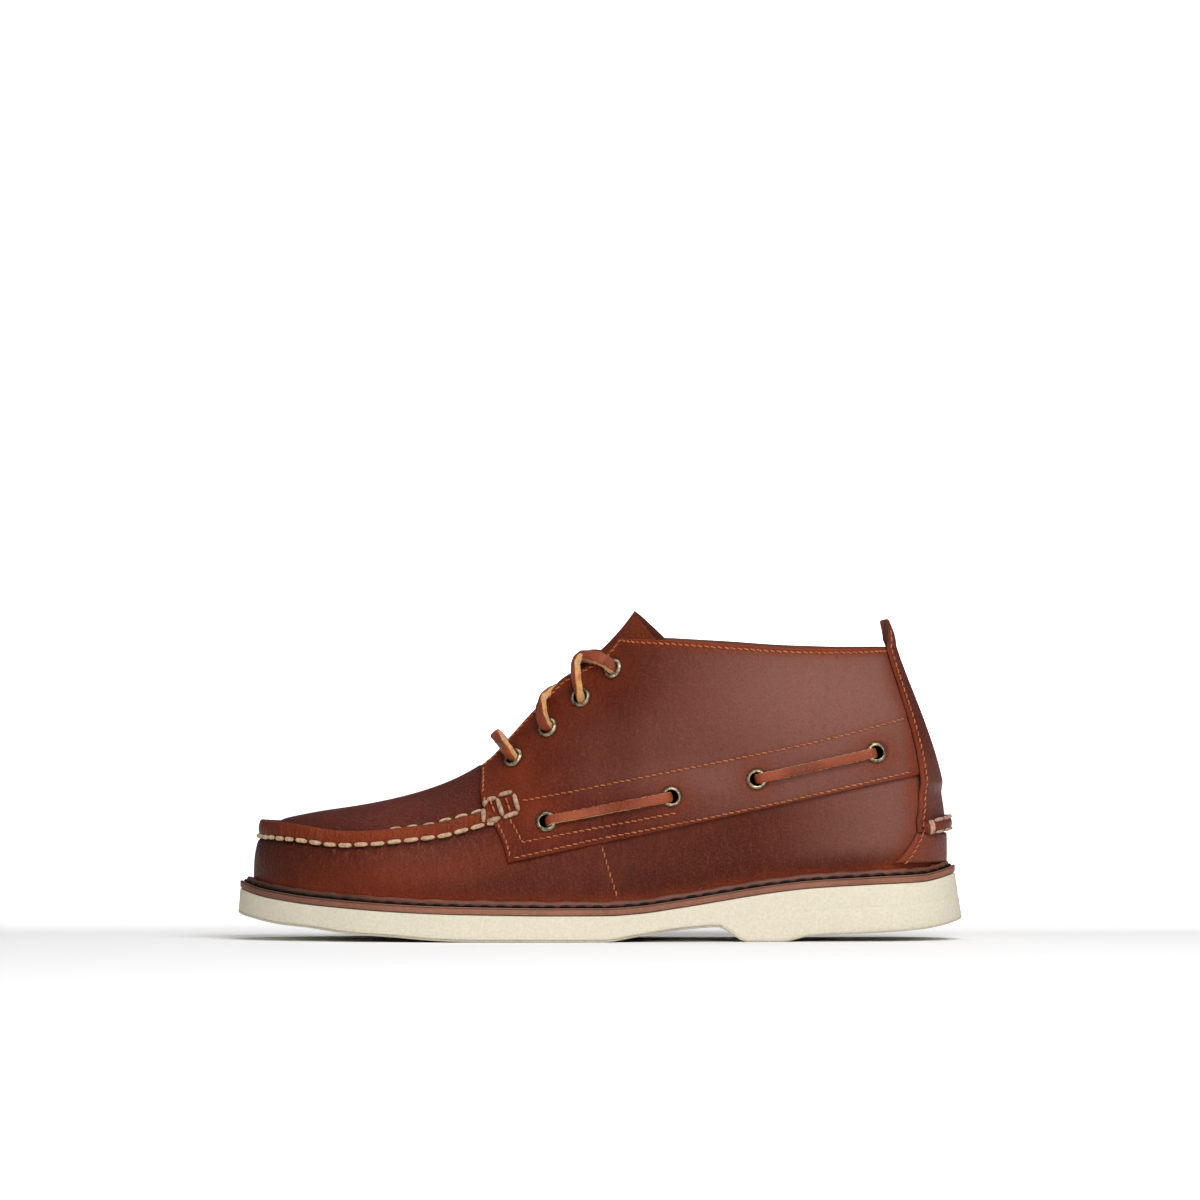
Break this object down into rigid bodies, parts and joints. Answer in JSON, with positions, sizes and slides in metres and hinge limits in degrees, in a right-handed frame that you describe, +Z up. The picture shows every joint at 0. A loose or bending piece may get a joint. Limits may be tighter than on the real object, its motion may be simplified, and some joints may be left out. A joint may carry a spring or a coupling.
{
  "type": "moc-toe chukka boot",
  "caption": "Left ankle-high lace-up boot in red-brown leather with a moccasin toe, side laces through brass eyelets and a cream sole.",
  "frame": {"origin": "on the floor, under the middle of the sole's bounding box", "axes": "+X along the boot towards the heel, +Y towards the inner (medial) side, +Z up"},
  "size_m": [0.3, 0.1087, 0.1371],
  "materials": {
    "leather": "waxed, satin",
    "sole_foam": "matt",
    "welt_leather": "matt",
    "footbed": "matt",
    "lace": "satin",
    "brass": "antique, satin"
  },
  "bodies": {
    "root": {"back_strip": "leather", "facing_eyelet_lateral_1": "brass", "facing_eyelet_lateral_2": "brass", "facing_eyelet_lateral_3": "brass", "facing_eyelet_lateral_4": "brass", "facing_eyelet_medial_1": "brass", "facing_eyelet_medial_2": "brass", "facing_eyelet_medial_3": "brass", "facing_eyelet_medial_4": "brass", "heel_counter": "leather", "heel_roll": "leather", "insole": "footbed", "lace_bar": "lace", "lace_cross_lower": "lace", "lace_cross_upper": "lace", "midsole": "welt_leather", "outsole": "sole_foam", "quarter_lateral": "leather", "quarter_medial": "leather", "side_eyelet_lateral_1": "brass", "side_eyelet_lateral_2": "brass", "side_eyelet_lateral_3": "brass", "side_eyelet_lateral_4": "brass", "side_eyelet_medial_1": "brass", "side_eyelet_medial_2": "brass", "side_eyelet_medial_3": "brass", "side_eyelet_medial_4": "brass", "side_lace_front_lateral": "lace", "side_lace_front_medial": "lace", "side_lace_rear_lateral": "lace", "side_lace_rear_medial": "lace", "tongue": "leather", "upper": "leather", "welt": "welt_leather"}
  },
  "joints": []
}
